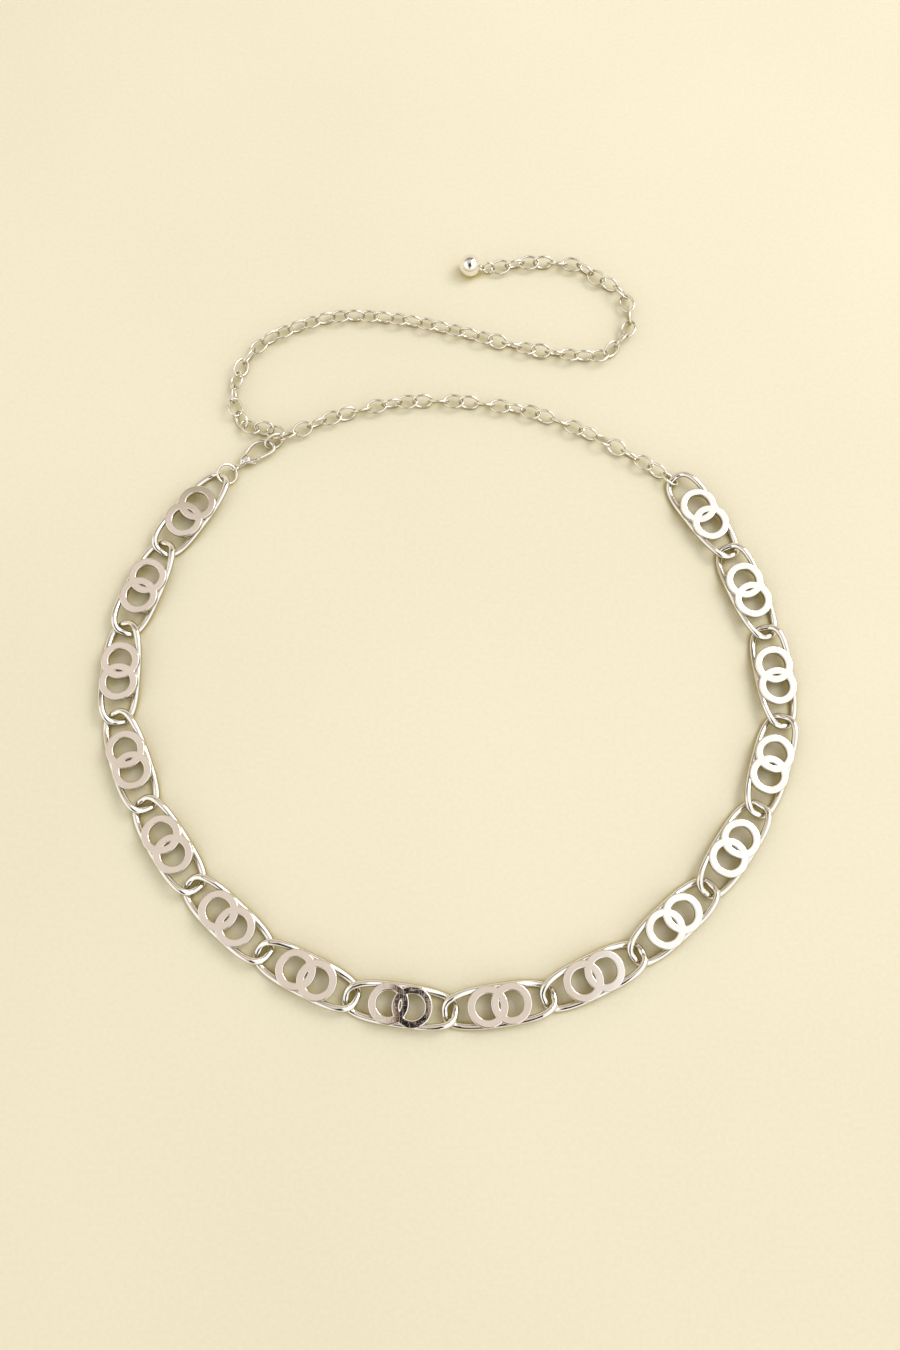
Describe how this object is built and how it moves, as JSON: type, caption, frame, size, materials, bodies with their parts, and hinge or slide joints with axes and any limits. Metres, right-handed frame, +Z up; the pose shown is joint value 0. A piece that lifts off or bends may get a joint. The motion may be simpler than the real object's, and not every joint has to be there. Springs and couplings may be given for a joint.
{
  "type": "waist chain",
  "caption": "Metal chain belt of large twisted wire links with double-ring plates, closed by a lobster clasp on a cable chain that ends in a ball.",
  "frame": {"origin": "middle of the footprint, on the surface that the chain lies on", "axes": "+Z up; the waist loop lies flat in XY; +Y from the loop's large links towards its clasp side and the free tail"},
  "size_m": [0.2533, 0.2991, 0.0086],
  "materials": {
    "plated_silver": "polished silver-coloured plating",
    "chain_silver": "bright silver-coloured wire",
    "clasp_silver": "tumbled silver-coloured casting",
    "ball_silver": "polished silver-coloured ball"
  },
  "bodies": {
    "root": {"big_link_01": "plated_silver", "big_link_02": "plated_silver", "big_link_03": "plated_silver", "big_link_04": "plated_silver", "big_link_05": "plated_silver", "big_link_06": "plated_silver", "big_link_07": "plated_silver", "big_link_08": "plated_silver", "big_link_09": "plated_silver", "big_link_10": "plated_silver", "big_link_11": "plated_silver", "big_link_12": "plated_silver", "big_link_13": "plated_silver", "big_link_14": "plated_silver", "big_link_15": "plated_silver", "big_link_16": "plated_silver", "jump_ring": "chain_silver", "clasp_body": "clasp_silver", "extender_chain": "chain_silver", "extender_tail": "chain_silver", "end_ball": "ball_silver"},
    "lever": {"clasp_lever": "clasp_silver"}
  },
  "joints": [
    {"name": "clasp_lever_hinge", "type": "hinge", "parent": "root", "child": "lever", "pos_m": [-0.078, 0.05925, 0.0024], "axis": [0, 0, 1], "range_deg": [0, 26], "stiffness_Nm_per_rad": 0.004}
  ]
}
